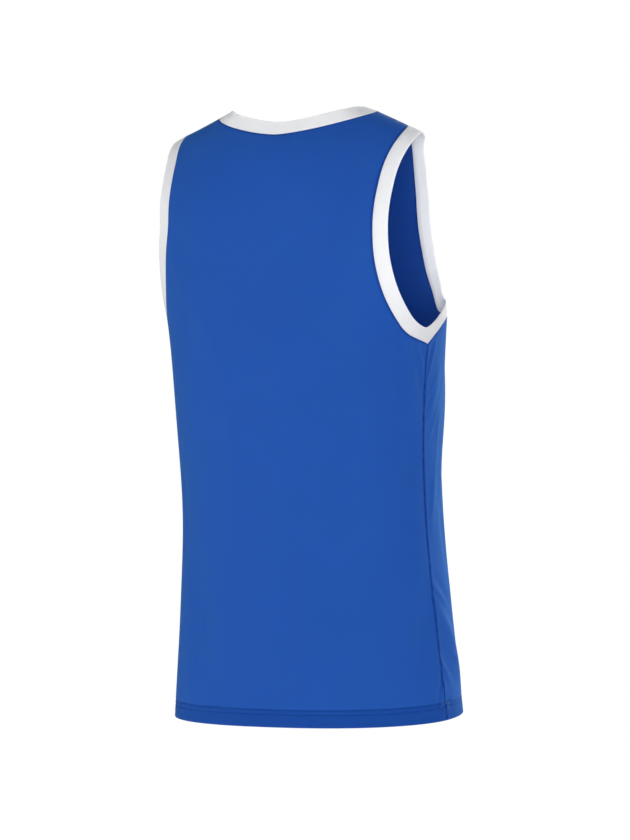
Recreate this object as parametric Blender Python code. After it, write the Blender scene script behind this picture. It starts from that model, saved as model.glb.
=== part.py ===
"""Sleeveless basketball jersey, filled out as it is worn, with nobody in it.

Two knitted panels, back and front, meet at the side seams and at the shoulder seams. A folded band
finishes the neck and each armhole, and the bottom edge of both panels is turned up and stitched.
Every panel is cut as a flat pattern, from the centre line outwards, and is then wrapped round a plain
torso that is described by horizontal rings.

Metres, +Z up. The wearer looks towards -Y, so the back is +Y and the wearer's left is +X. The origin
lies midway between the two shoulder seams, where the shoulders carry the garment.
"""

import math
from collections import namedtuple

import bmesh
import bpy
import numpy as np

# ---------------------------------------------------------------- driving sizes
CLOTH = 0.0012          # wall of the panels
HEM_CLOTH = 0.0022      # wall where the bottom edge is turned up
HEM_DEPTH = 0.021       # height of the turned-up edge
BAND_CLOTH = 0.0020     # folded band, two layers
BAND_WIDTH = 0.019
# An armhole's band leans outwards on the chest, and it is gathered and drawn in under the arm. Each does so
# most at a depth and height, and hardly at all past the reach from there.
CHEST, CHEST_REACH = (-0.100, -0.130), 0.130
UNDERARM, UNDERARM_REACH = (-0.038, -0.256), 0.048
LEANING_OUT = 0.21      # how far the free edge is moved, as a share of the band's width
DRAWN_IN = 0.26
GATHERED = 0.46         # how much narrower the band is
SEAM_GAP = 0.0003       # clear space between pieces at a seam

HEM = -0.736            # height of the bottom edge at the side seams
ARMPIT = -0.274         # height of the side seams' upper ends
BACK_NECK = -0.015      # height of the neck seam at the centre back
FRONT_NECK = -0.115     # height of the neck seam at the centre front
NECK_POINT = 0.013      # height of the shoulder seam's inner end
STRAP_END = -0.005      # height of the shoulder seam's outer end

# The torso, top to bottom. A ring's half_width reaches from the centre line to the side seam or, above
# the armpit, to the shoulder's ridge. Its depths are counted from the seam, which lies at centre.
# A ring is flatter across the back and chest as flat grows, and folds more sharply at the seam as
# fold grows from 0.5, which is round, to 1. lean is how far it drops for each metre towards the back.
Ring = namedtuple("Ring", "height half_width back front centre flat fold lean")
TORSO = (
    Ring(0.030, 0.064, 0.039, 0.041, 0.002, 2.2, 0.70, 0.00),
    Ring(0.020, 0.094, 0.039, 0.043, 0.004, 2.2, 0.70, 0.00),
    Ring(0.011, 0.119, 0.040, 0.045, 0.005, 2.2, 0.70, 0.00),
    Ring(-0.007, 0.165, 0.048, 0.051, 0.006, 2.2, 0.70, 0.00),
    Ring(-0.024, 0.194, 0.061, 0.056, 0.005, 2.2, 0.68, 0.00),
    Ring(-0.050, 0.206, 0.076, 0.067, 0.004, 2.2, 0.58, 0.00),
    Ring(-0.090, 0.212, 0.092, 0.085, 0.001, 2.3, 0.48, 0.00),
    Ring(-0.150, 0.206, 0.108, 0.111, -0.004, 2.4, 0.45, 0.00),
    Ring(-0.210, 0.192, 0.116, 0.127, -0.005, 2.4, 0.47, 0.00),
    Ring(-0.268, 0.183, 0.117, 0.147, -0.004, 2.4, 0.50, 0.00),
    Ring(-0.370, 0.176, 0.107, 0.155, -0.004, 2.3, 0.50, 0.02),
    Ring(-0.480, 0.174, 0.098, 0.149, -0.011, 2.3, 0.50, 0.04),
    Ring(-0.600, 0.183, 0.097, 0.147, -0.018, 2.3, 0.50, 0.09),
    Ring(-0.731, 0.196, 0.101, 0.145, -0.026, 2.4, 0.50, 0.10),
    Ring(-0.760, 0.199, 0.101, 0.143, -0.028, 2.4, 0.50, 0.10),
)

# ---------------------------------------------------------------- cutting the flat pattern
# An armhole's seam line, from the shoulder down to the side seam: how far it lies from the centre line,
# measured along the cloth, at each height.
Cut = namedtuple("Cut", "height from_centre")
# The neck's seam line: its height at the centre line. It is flatter there as bottom grows, and turns up
# more sharply at the shoulder as corner falls from 1.
Neck = namedtuple("Neck", "height bottom corner")
BACK, FRONT = 1, -1
ARMHOLE = {
    BACK: (
        Cut(-0.045, 0.161),
        Cut(-0.085, 0.157),
        Cut(-0.130, 0.156),
        Cut(-0.175, 0.161),
        Cut(-0.215, 0.173),
        Cut(-0.245, 0.190),
        Cut(-0.262, 0.206),
    ),
    FRONT: (
        Cut(-0.020, 0.1485),
        Cut(-0.045, 0.139),
        Cut(-0.085, 0.126),
        Cut(-0.130, 0.113),
        Cut(-0.175, 0.1125),
        Cut(-0.208, 0.127),
        Cut(-0.231, 0.141),
        Cut(-0.235, 0.175),
        Cut(-0.2425, 0.209),
        Cut(-0.257, 0.239),
    ),
}
NECK = {BACK: Neck(BACK_NECK, 1.5, 0.85), FRONT: Neck(FRONT_NECK, 1.7, 0.66)}

# ---------------------------------------------------------------- the largest folds
# Soft ridges, or troughs where depth is negative. turn is how far round the fold's middle lies: 0 at the
# centre back, 1 at the side seam, 2 at the centre front. slant, in degrees, is how far its upper end
# leans forwards. width is how far from its crest it has mostly died away.
QUARTER = 0.25          # cloth in one turn
LEFT, RIGHT = 1, -1
Fold = namedtuple("Fold", "side turn height slant length width depth")
FOLDS = (
    Fold(RIGHT, 0.77, -0.295, -15, 0.12, 0.014, -0.003),
    Fold(RIGHT, 1.10, -0.330, 18, 0.11, 0.012, 0.003),
    Fold(RIGHT, 1.07, -0.450, 5, 0.16, 0.012, 0.002),
    Fold(RIGHT, 0.86, -0.410, 0, 0.12, 0.018, -0.003),
    Fold(RIGHT, 0.86, -0.630, 16, 0.20, 0.018, -0.004),
    Fold(RIGHT, 1.15, -0.650, -32, 0.16, 0.014, 0.004),
    Fold(LEFT, 0.30, -0.245, 28, 0.24, 0.016, 0.003),
    Fold(LEFT, 0.14, -0.410, -3, 0.20, 0.014, 0.002),
    Fold(LEFT, 0.41, -0.610, 2, 0.20, 0.020, -0.004),
    Fold(LEFT, 0.92, -0.330, -14, 0.13, 0.014, -0.003),
    Fold(LEFT, 1.12, -0.350, 16, 0.14, 0.013, 0.003),
    Fold(LEFT, 1.10, -0.610, -20, 0.18, 0.016, 0.004),
    Fold(LEFT, 1.45, -0.320, 24, 0.20, 0.018, 0.003),
    Fold(RIGHT, 1.42, -0.330, 22, 0.20, 0.018, 0.003),
    Fold(RIGHT, 1.62, -0.600, -6, 0.22, 0.020, -0.004),
    Fold(LEFT, 1.70, -0.560, 8, 0.24, 0.020, 0.004),
    Fold(LEFT, 1.00, -0.001, 90, 0.20, 0.010, -0.003),
    Fold(RIGHT, 1.00, -0.004, 90, 0.20, 0.013, -0.0015),
)

# ---------------------------------------------------------------- how finely it is drawn
TABLE_STEPS = 96        # steps in which a quarter of a ring is measured
LINE_STEPS = 300        # in which a seam line is measured
REACH = 0.15            # how far round, in turns, the cloth's normal is averaged
STEP = 0.002            # and how far up and down
NECK_STEPS = {BACK: 8, FRONT: 11}           # along half the neck seam of a panel
SHOULDER_STEPS = 3
ARMHOLE_STEPS = 20      # from the side seam to the shoulder
UNDERARM_STEPS = {BACK: 4, FRONT: 6}        # of those, the ones that lie above the body's rows
STRAP_STEPS = {BACK: 0, FRONT: 4}           # and those beside a strap, which the neck reaches down past
BODY_ROWS = 19          # from the turned-up edge to the underarm
HEM_ROWS = (0.0, 0.5, 1.0, 1.08)            # as shares of the turned-up edge
# A band's section: how far across it, and how much of its full thickness is left there.
Across = namedtuple("Across", "share thickness")
BAND_SECTION = (Across(0.0, 1.0), Across(0.33, 1.0), Across(0.67, 1.0), Across(0.92, 0.9), Across(1.0, 0.45))

SAME_POINT = 7          # decimals of a metre to which two grids' points have to agree to be one
CRISP_EDGE = math.radians(50)               # an edge that turns further than this isn't shaded smooth

Knit = namedtuple("Knit", "name colour roughness")
BLUE = Knit("blue_knit", (0.017, 0.091, 0.392, 1.0), 0.55)
WHITE = Knit("white_knit", (0.78, 0.79, 0.80, 1.0), 0.65)


def hermite(knots, values, wanted):
    """A cubic through the rows of values, with each row's mean slope."""
    knots, values = np.asarray(knots, float), np.asarray(values, float)
    slopes = np.gradient(values, knots, axis=0)
    i = np.clip(np.searchsorted(knots, wanted) - 1, 0, len(knots) - 2)
    span = knots[i + 1] - knots[i]
    u = np.clip((wanted - knots[i]) / span, 0.0, 1.0)
    if values.ndim > 1:
        span, u = span[..., None], u[..., None]
    return (
        values[i] * (1 + 2 * u) * (1 - u) ** 2
        + values[i + 1] * u * u * (3 - 2 * u)
        + span * slopes[i] * u * (1 - u) ** 2
        - span * slopes[i + 1] * u * u * (1 - u)
    )


def ring_value(name, height):
    """A column of TORSO at any height."""
    rows = TORSO[::-1]
    return hermite([row.height for row in rows], [getattr(row, name) for row in rows], height)


def on_torso(turn, height):
    """A point of the torso's left half. turn is 0 at the centre back, 1 at the seam, 2 at the centre front.
    Past either centre line it goes on to the right half."""
    out = np.sin(turn * math.pi / 2)
    behind = turn < 1
    depth = np.where(behind, ring_value("back", height), -ring_value("front", height))
    bulge = np.clip(1 - np.abs(out) ** ring_value("flat", height), 0, 1) ** ring_value("fold", height)
    y = depth * bulge
    z = height - ring_value("lean", height) * y
    return np.stack([ring_value("half_width", height) * out, ring_value("centre", height) + y, z], axis=-1)


def unit(vectors):
    return vectors / np.linalg.norm(vectors, axis=-1, keepdims=True)


def normal_on(turn, height):
    """The cloth's outward direction. At a seam it is shared by both panels, so their edges stay parallel."""
    around = on_torso(turn + REACH, height) - on_torso(turn - REACH, height)
    upward = on_torso(turn, height + STEP) - on_torso(turn, height - STEP)
    return unit(np.cross(upward, around))


def quarter_lengths(height, facing):
    """How much cloth lies between the centre line and each of TABLE_STEPS turns, at each height."""
    turns = np.linspace(0, 1, TABLE_STEPS + 1)
    shown = turns if facing == BACK else 2 - turns
    points = on_torso(shown[None, :], height[:, None])
    steps = np.linalg.norm(np.diff(points, axis=1), axis=2)
    return turns, np.concatenate([np.zeros((len(height), 1)), np.cumsum(steps, axis=1)], axis=1)


def half_round(height, facing):
    """How much cloth lies between the centre line and the seam, at each height."""
    return quarter_lengths(np.atleast_1d(height), facing)[1][:, -1]


def wrapped(flat, facing):
    """The turn at which each point of a flat pattern, (from_centre, height), comes to lie."""
    turns, lengths = quarter_lengths(flat[:, 1], facing)
    turn = np.array([np.interp(abs(s), row, turns) for s, row in zip(flat[:, 0], lengths)])
    return turn if facing == BACK else 2 - turn


def evenly(line, facing, count):
    """The same line of the flat pattern as count points, evenly spaced once it lies on the torso."""
    points = on_torso(wrapped(line, facing), line[:, 1])
    along = np.concatenate([[0], np.cumsum(np.linalg.norm(np.diff(points, axis=0), axis=1))])
    wanted = np.linspace(0, along[-1], count)
    return np.stack([np.interp(wanted, along, line[:, k]) for k in (0, 1)], axis=-1)


def armhole_line(facing, count):
    """The armhole's seam on the flat pattern, from the side seam up to the shoulder."""
    bottom = (half_round(ARMPIT, facing)[0], ARMPIT)
    top = (half_round(STRAP_END, facing)[0], STRAP_END)
    cuts = [(cut.from_centre, cut.height) for cut in reversed(ARMHOLE[facing])]
    corners = np.array([bottom, *cuts, top])
    spacing = np.sqrt(np.linalg.norm(np.diff(corners, axis=0), axis=1))
    knots = np.concatenate([[0], np.cumsum(spacing)])
    return evenly(hermite(knots, corners, np.linspace(0, knots[-1], LINE_STEPS)), facing, count)


def neck_line(facing, count):
    """The neck's seam on the flat pattern, from the centre line to the shoulder."""
    neck = NECK[facing]
    share = np.sin(np.linspace(0, math.pi / 2, LINE_STEPS))
    rise = 1 - (1 - share**neck.bottom) ** neck.corner
    heights = neck.height + (NECK_POINT - neck.height) * rise
    return evenly(np.stack([half_round(NECK_POINT, facing)[0] * share, heights], axis=-1), facing, count)


def shoulder_line(facing, count):
    """The shoulder seam on the flat pattern, from the neck out to the strap's end."""
    heights = np.linspace(NECK_POINT, STRAP_END, count)
    return np.stack([half_round(heights, facing), heights], axis=-1)


# ---------------------------------------------------------------- laying the pattern on the torso
def relief(side, turn, height):
    """How far the folds lift the cloth off the torso."""
    around = side * turn * QUARTER
    lift = np.zeros(np.shape(around))
    for fold in FOLDS:
        past = (around - fold.side * fold.turn * QUARTER + 2 * QUARTER) % (4 * QUARTER) - 2 * QUARTER
        above = height - fold.height
        angle = math.radians(fold.side * fold.slant)
        along = above * math.cos(angle) + past * math.sin(angle)
        across = past * math.cos(angle) - above * math.sin(angle)
        swell = np.clip(1 - (2 * along / fold.length) ** 2, 0, 1) ** 2
        lift += fold.depth * swell * np.exp(-((across / fold.width) ** 2))
    return lift


def laid(flat, facing):
    """Where the points of a flat pattern come to lie, and which way is out there."""
    side = np.where(flat[:, 0] < 0, RIGHT, LEFT)
    mirror = np.stack([side, np.ones_like(side), np.ones_like(side)], axis=-1)
    turn, height = wrapped(flat, facing), flat[:, 1]
    outward = normal_on(turn, height) * mirror
    return on_torso(turn, height) * mirror + outward * relief(side, turn, height)[:, None], outward


def patch(bottom, top, left, right):
    """A grid of points that fills four edges, row by row from the bottom."""
    u = np.linspace(0, 1, len(bottom))[None, :, None]
    v = np.linspace(0, 1, len(left))[:, None, None]
    ruled = (1 - v) * bottom + v * top + (1 - u) * left[:, None] + u * right[:, None]
    low_corners = (1 - u) * bottom[0] + u * bottom[-1]
    high_corners = (1 - u) * top[0] + u * top[-1]
    return ruled - (1 - v) * low_corners - v * high_corners


def body_rows(underarm, facing):
    """The rows of half a panel below the underarm line: level at the hem, then bending to that line."""
    reach = half_round(underarm[:, 1], facing)
    spread_above = underarm[:, 0] / reach
    spread_below = np.linspace(0, 1, len(underarm))
    hem_top = HEM + HEM_DEPTH * HEM_ROWS[-1]
    rows = [(0.0, np.full(len(underarm), HEM + HEM_DEPTH * share)) for share in HEM_ROWS]
    for v in np.linspace(0, 1, BODY_ROWS + 1)[1:]:
        rows.append((v, hem_top + v * (underarm[:, 1] - hem_top)))
    points = []
    for v, heights in rows:
        spread = (1 - v) * spread_below + v * spread_above
        points.append(np.stack([spread * half_round(heights, facing), heights], axis=-1))
    return np.array(points)


def half_pattern(facing):
    """Half a panel's flat pattern as grids: the body, the chest and, where the neck is deep, the strap."""
    armhole = armhole_line(facing, ARMHOLE_STEPS + 1)
    neck = neck_line(facing, NECK_STEPS[facing] + 1)
    shoulder = shoulder_line(facing, SHOULDER_STEPS + 1)
    low, high = UNDERARM_STEPS[facing], ARMHOLE_STEPS - STRAP_STEPS[facing]
    neck_turn = NECK_STEPS[facing] - STRAP_STEPS[facing]
    across = shoulder
    if STRAP_STEPS[facing]:
        across = np.linspace(neck[neck_turn], armhole[high], SHOULDER_STEPS + 1)
    top = np.concatenate([neck[: neck_turn + 1], across[1:]])
    level = np.linspace((0, armhole[low, 1]), armhole[low], len(top))
    middle = np.linspace(level[0], top[0], high - low + 1)
    underarm = np.concatenate([level, armhole[:low][::-1]])
    grids = [body_rows(underarm, facing), patch(level, top, middle, armhole[low : high + 1])]
    if STRAP_STEPS[facing]:
        grids.append(patch(across, shoulder, neck[neck_turn:], armhole[high:]))
    return grids


def joined(grids):
    """Each point of the grids once, and for each grid the numbers of its points."""
    every_point = np.round(np.concatenate([grid.reshape(-1, 2) for grid in grids]), SAME_POINT) + 0.0
    flat, shared = np.unique(every_point, axis=0, return_inverse=True)
    sizes = [grid.shape[0] * grid.shape[1] for grid in grids]
    parts = np.split(shared.ravel(), np.cumsum(sizes)[:-1])
    return flat, [part.reshape(grid.shape[:2]) for part, grid in zip(parts, grids)]


# ---------------------------------------------------------------- solids
def squares(numbers, closed=False):
    """The four-sided faces of a grid of point numbers. A closed one runs round to its first column."""
    if closed:
        numbers = np.concatenate([numbers, numbers[:, :1]], axis=1)
    corners = numbers[:-1, :-1], numbers[:-1, 1:], numbers[1:, 1:], numbers[1:, :-1]
    return np.stack(corners, axis=-1).reshape(-1, 4).tolist()


def wall(name, outside, inside, faces, material, collection):
    """A closed solid between two sheets of points that share their faces."""
    count = len(outside)
    uses = {}
    for face in faces:
        for start, end in zip(face, face[1:] + face[:1]):
            uses.setdefault(frozenset((start, end)), []).append((start, end))
    rims = [edge[0] for edge in uses.values() if len(edge) == 1]
    solid = bmesh.new()
    points = [solid.verts.new(point) for point in np.concatenate([outside, inside])]
    for face in faces:
        solid.faces.new([points[i] for i in face])
        solid.faces.new([points[count + i] for i in reversed(face)])
    for start, end in rims:
        solid.faces.new([points[i] for i in (end, start, count + start, count + end)])
    bmesh.ops.triangulate(solid, faces=solid.faces, quad_method="SHORT_EDGE")
    bmesh.ops.recalc_face_normals(solid, faces=solid.faces)
    mesh = bpy.data.meshes.new(name)
    solid.to_mesh(mesh)
    solid.free()
    mesh.materials.append(material)
    mesh.shade_smooth()
    mesh.set_sharp_from_angle(angle=CRISP_EDGE)
    piece = bpy.data.objects.new(name, mesh)
    collection.objects.link(piece)
    return piece


def hold_back(points, outward, seam, inside):
    """Moves a panel's edge back from its seam by half the gap, in the cloth's own surface."""
    along = np.gradient(points[seam], axis=0)
    away = unit(np.cross(outward[seam], along))
    towards = np.sum(away * (points[inside] - points[seam]), axis=-1, keepdims=True)
    points[seam] += away * np.sign(towards) * SEAM_GAP / 2


def panel(name, facing, material, collection):
    """The back or the front: one wall from the hem to the shoulders, thicker where its edge is turned up."""
    grids = [grid * [side, 1] for side in (LEFT, RIGHT) for grid in half_pattern(facing)]
    flat, numbers = joined(grids)
    points, outward = laid(flat, facing)
    half = len(grids) // 2
    for body, top in ((numbers[0], numbers[half - 1]), (numbers[half], numbers[-1])):
        hold_back(points, outward, body[:, -1], body[:, -2])
        hold_back(points, outward, top[-1, -SHOULDER_STEPS - 1 :], top[-2, -SHOULDER_STEPS - 1 :])
    turned_up = flat[:, 1] < HEM + HEM_DEPTH * np.mean(HEM_ROWS[-2:])
    thickness = np.where(turned_up, HEM_CLOTH, CLOTH)[:, None]
    # The right half's grids run the other way round, so their columns are reversed.
    faces = [face for grid in numbers[:half] for face in squares(grid)]
    faces += [face for grid in numbers[half:] for face in squares(grid[:, ::-1])]
    return wall(name, points, points - outward * thickness, faces, material, collection)


def round_seam(stretches):
    """The closed seam made of stretches, each (line, facing, side), and which way is out along it."""
    ends = [laid(line * [side, 1], facing) for line, facing, side in stretches]
    return [np.concatenate([end[k][:-1] for end in ends]) for k in (0, 1)]


def closeness(seam, place, reach):
    """How close each point of an armhole's seam is to a place, from 0 to 1."""
    away = (seam[:, 1:] - place) / reach
    return np.exp(-np.sum(away * away, axis=1))[:, None]


def straight(into, _outward, _seam):
    return into


def eased(into, outward, seam):
    """The way across an armhole's band, leaning outwards, drawn in and gathered."""
    chest, underarm = closeness(seam, CHEST, CHEST_REACH), closeness(seam, UNDERARM, UNDERARM_REACH)
    return into * (1 - GATHERED * underarm) + outward * (LEANING_OUT * chest - DRAWN_IN * underarm)


def band(name, stretches, material, collection, easing):
    """A folded strip sewn on all round an opening: from its seam it reaches on into the opening."""
    seam, outward = round_seam(stretches)
    along = np.roll(seam, -1, axis=0) - np.roll(seam, 1, axis=0)
    into = unit(np.cross(outward, along))
    into *= np.sign(np.sum(into * (seam.mean(axis=0) - seam)))
    into = unit(2 * into + np.roll(into, -1, axis=0) + np.roll(into, 1, axis=0))
    into = easing(into, outward, seam)
    outside, inside = [], []
    for across in BAND_SECTION:
        line = seam + into * (SEAM_GAP + across.share * (BAND_WIDTH - SEAM_GAP))
        proud = (BAND_CLOTH * across.thickness - CLOTH) / 2
        outside.append(line + outward * proud)
        inside.append(line + outward * (proud - BAND_CLOTH * across.thickness))
    numbers = np.arange(len(BAND_SECTION) * len(seam)).reshape(len(BAND_SECTION), len(seam))
    faces = squares(numbers, closed=True)
    return wall(name, np.concatenate(outside), np.concatenate(inside), faces, material, collection)


def neck_band(material, collection):
    back, front = (neck_line(facing, NECK_STEPS[facing] + 1) for facing in (BACK, FRONT))
    stretches = (
        (back, BACK, LEFT),
        (front[::-1], FRONT, LEFT),
        (front, FRONT, RIGHT),
        (back[::-1], BACK, RIGHT),
    )
    return band("neck_band", stretches, material, collection, straight)


def armhole_band(name, side, material, collection):
    back, front = armhole_line(BACK, ARMHOLE_STEPS + 1), armhole_line(FRONT, ARMHOLE_STEPS + 1)
    return band(name, ((back, BACK, side), (front[::-1], FRONT, side)), material, collection, eased)


def cloth(knit):
    material = bpy.data.materials.new(knit.name)
    material.use_nodes = True
    shader = material.node_tree.nodes["Principled BSDF"]
    shader.inputs["Base Color"].default_value = knit.colour
    shader.inputs["Roughness"].default_value = knit.roughness
    shader.inputs["Metallic"].default_value = 0.0
    return material


def main():
    for old in list(bpy.data.objects):
        bpy.data.objects.remove(old)
    collection = bpy.data.collections.new("basketball_jersey")
    bpy.context.scene.collection.children.link(collection)
    jersey = bpy.data.objects.new("jersey", None)
    collection.objects.link(jersey)
    blue, white = cloth(BLUE), cloth(WHITE)
    pieces = [
        panel("back", BACK, blue, collection),
        panel("front", FRONT, blue, collection),
        neck_band(white, collection),
        armhole_band("armhole_band_left", LEFT, white, collection),
        armhole_band("armhole_band_right", RIGHT, white, collection),
    ]
    for piece in pieces:
        piece.parent = jersey


main()
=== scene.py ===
"""The looks of a sleeveless basketball jersey, filled out as it is worn, with nobody in it.

Each panel and each band is a shell of knitted cloth on the form of its solid, with the same cut, the same
torso and the same large folds. To these it adds the finer creases, the turned-up hem, the rolled edges at
the seams and the sewing.

Metres, +Z up. The wearer looks towards -Y, so the back is +Y and the wearer's left is +X.
"""

import math
from collections import namedtuple

import bmesh
import bpy
import numpy as np
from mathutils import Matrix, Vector
from mathutils.kdtree import KDTree


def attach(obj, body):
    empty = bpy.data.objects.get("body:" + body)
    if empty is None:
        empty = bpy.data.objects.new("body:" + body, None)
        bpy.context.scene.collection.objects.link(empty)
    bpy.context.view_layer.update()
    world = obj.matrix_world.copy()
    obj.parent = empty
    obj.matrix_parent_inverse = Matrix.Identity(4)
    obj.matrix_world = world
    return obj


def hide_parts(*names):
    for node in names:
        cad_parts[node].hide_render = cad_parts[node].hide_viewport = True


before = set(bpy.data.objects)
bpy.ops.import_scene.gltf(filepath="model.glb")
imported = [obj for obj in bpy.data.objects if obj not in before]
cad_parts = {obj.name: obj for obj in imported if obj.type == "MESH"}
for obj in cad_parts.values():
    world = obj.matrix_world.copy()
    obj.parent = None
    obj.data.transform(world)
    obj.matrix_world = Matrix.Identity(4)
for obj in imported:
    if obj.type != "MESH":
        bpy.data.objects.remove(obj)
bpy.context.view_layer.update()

# ---------------------------------------------------------------- driving sizes
CLOTH = 0.0012          # wall of the panels
HEM_CLOTH = 0.0022      # wall where the bottom edge is turned up
HEM_DEPTH = 0.021       # height of the turned-up edge
BAND_CLOTH = 0.0020     # folded band, two layers
BAND_WIDTH = 0.019
# An armhole's band leans outwards on the chest, and it is gathered and drawn in under the arm. Each does so
# most at a depth and height, and hardly at all past the reach from there.
CHEST, CHEST_REACH = (-0.100, -0.130), 0.130
UNDERARM, UNDERARM_REACH = (-0.038, -0.256), 0.048
LEANING_OUT = 0.21      # how far the free edge is moved, as a share of the band's width
DRAWN_IN = 0.26         # and how far it is moved the other way
GATHERED = 0.46         # how much narrower the band is
# Where the bands' free edges turn a corner, and the reach over which that is rounded.
ARMHOLE_CORNER = (UNDERARM, 2 * UNDERARM_REACH)
NECK_CORNER = ((0.004, 0.016), 0.042)
# The neck band's free edge rises off the shoulders, by a share of the band's width. It does so over that
# corner's reach, taken so many times.
NECK_RISE, RISE_REACH = 0.16, 1.4

HEM = -0.736            # height of the bottom edge at the side seams
ARMPIT = -0.274         # height of the side seams' upper ends
BACK_NECK = -0.015      # height of the neck seam at the centre back
FRONT_NECK = -0.115     # height of the neck seam at the centre front
NECK_POINT = 0.013      # height of the shoulder seam's inner end
STRAP_END = -0.005      # height of the shoulder seam's outer end

# The torso, top to bottom. A ring's half_width reaches from the centre line to the side seam or, above
# the armpit, to the shoulder's ridge. Its depths are counted from the seam, which lies at centre.
# A ring is flatter across the back and chest as flat grows, and folds more sharply at the seam as
# fold grows from 0.5, which is round, to 1. lean is how far it drops for each metre towards the back.
Ring = namedtuple("Ring", "height half_width back front centre flat fold lean")
TORSO = (
    Ring(0.030, 0.064, 0.039, 0.041, 0.002, 2.2, 0.70, 0.00),
    Ring(0.020, 0.094, 0.039, 0.043, 0.004, 2.2, 0.70, 0.00),
    Ring(0.011, 0.119, 0.040, 0.045, 0.005, 2.2, 0.70, 0.00),
    Ring(-0.007, 0.165, 0.048, 0.051, 0.006, 2.2, 0.70, 0.00),
    Ring(-0.024, 0.194, 0.061, 0.056, 0.005, 2.2, 0.68, 0.00),
    Ring(-0.050, 0.206, 0.076, 0.067, 0.004, 2.2, 0.58, 0.00),
    Ring(-0.090, 0.212, 0.092, 0.085, 0.001, 2.3, 0.48, 0.00),
    Ring(-0.150, 0.206, 0.108, 0.111, -0.004, 2.4, 0.45, 0.00),
    Ring(-0.210, 0.192, 0.116, 0.127, -0.005, 2.4, 0.47, 0.00),
    Ring(-0.268, 0.183, 0.117, 0.147, -0.004, 2.4, 0.50, 0.00),
    Ring(-0.370, 0.176, 0.107, 0.155, -0.004, 2.3, 0.50, 0.02),
    Ring(-0.480, 0.174, 0.098, 0.149, -0.011, 2.3, 0.50, 0.04),
    Ring(-0.600, 0.183, 0.097, 0.147, -0.018, 2.3, 0.50, 0.09),
    Ring(-0.731, 0.196, 0.101, 0.145, -0.026, 2.4, 0.50, 0.10),
    Ring(-0.760, 0.199, 0.101, 0.143, -0.028, 2.4, 0.50, 0.10),
)

# ---------------------------------------------------------------- the cut
# An armhole's seam line, from the shoulder down to the side seam: how far it lies from the centre line,
# measured along the cloth, at each height.
Cut = namedtuple("Cut", "height from_centre")
# The neck's seam line: its height at the centre line. It is flatter there as bottom grows, and turns up
# more sharply at the shoulder as corner falls from 1.
Neck = namedtuple("Neck", "height bottom corner")
BACK, FRONT = 1, -1
ARMHOLE = {
    BACK: (
        Cut(-0.045, 0.161),
        Cut(-0.085, 0.157),
        Cut(-0.130, 0.156),
        Cut(-0.175, 0.161),
        Cut(-0.215, 0.173),
        Cut(-0.245, 0.190),
        Cut(-0.262, 0.206),
    ),
    FRONT: (
        Cut(-0.020, 0.1485),
        Cut(-0.045, 0.139),
        Cut(-0.085, 0.126),
        Cut(-0.130, 0.113),
        Cut(-0.175, 0.1125),
        Cut(-0.208, 0.127),
        Cut(-0.231, 0.141),
        Cut(-0.235, 0.175),
        Cut(-0.2425, 0.209),
        Cut(-0.257, 0.239),
    ),
}
NECK = {BACK: Neck(BACK_NECK, 1.5, 0.85), FRONT: Neck(FRONT_NECK, 1.7, 0.66)}

# What shows of each cut piece laid flat, without what is turned in at seams and the hem.
Flat = namedtuple("Flat", "size area")

# ---------------------------------------------------------------- folds
# Soft ridges, or troughs where depth is negative. turn is how far round the fold's middle lies: 0 at the
# centre back, 1 at the side seam, 2 at the centre front. slant, in degrees, is how far its upper end
# leans forwards. width is how far from its crest it has mostly died away.
QUARTER = 0.25          # cloth in one turn
LEFT, RIGHT = 1, -1
Fold = namedtuple("Fold", "side turn height slant length width depth")
LARGE_FOLDS = (
    Fold(RIGHT, 0.77, -0.295, -15, 0.12, 0.014, -0.003),
    Fold(RIGHT, 1.10, -0.330, 18, 0.11, 0.012, 0.003),
    Fold(RIGHT, 1.07, -0.450, 5, 0.16, 0.012, 0.002),
    Fold(RIGHT, 0.86, -0.410, 0, 0.12, 0.018, -0.003),
    Fold(RIGHT, 0.86, -0.630, 16, 0.20, 0.018, -0.004),
    Fold(RIGHT, 1.15, -0.650, -32, 0.16, 0.014, 0.004),
    Fold(LEFT, 0.30, -0.245, 28, 0.24, 0.016, 0.003),
    Fold(LEFT, 0.14, -0.410, -3, 0.20, 0.014, 0.002),
    Fold(LEFT, 0.41, -0.610, 2, 0.20, 0.020, -0.004),
    Fold(LEFT, 0.92, -0.330, -14, 0.13, 0.014, -0.003),
    Fold(LEFT, 1.12, -0.350, 16, 0.14, 0.013, 0.003),
    Fold(LEFT, 1.10, -0.610, -20, 0.18, 0.016, 0.004),
    Fold(LEFT, 1.45, -0.320, 24, 0.20, 0.018, 0.003),
    Fold(RIGHT, 1.42, -0.330, 22, 0.20, 0.018, 0.003),
    Fold(RIGHT, 1.62, -0.600, -6, 0.22, 0.020, -0.004),
    Fold(LEFT, 1.70, -0.560, 8, 0.24, 0.020, 0.004),
    Fold(LEFT, 1.00, -0.001, 90, 0.20, 0.010, -0.003),
    Fold(RIGHT, 1.00, -0.004, 90, 0.20, 0.013, -0.0015),
)
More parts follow.
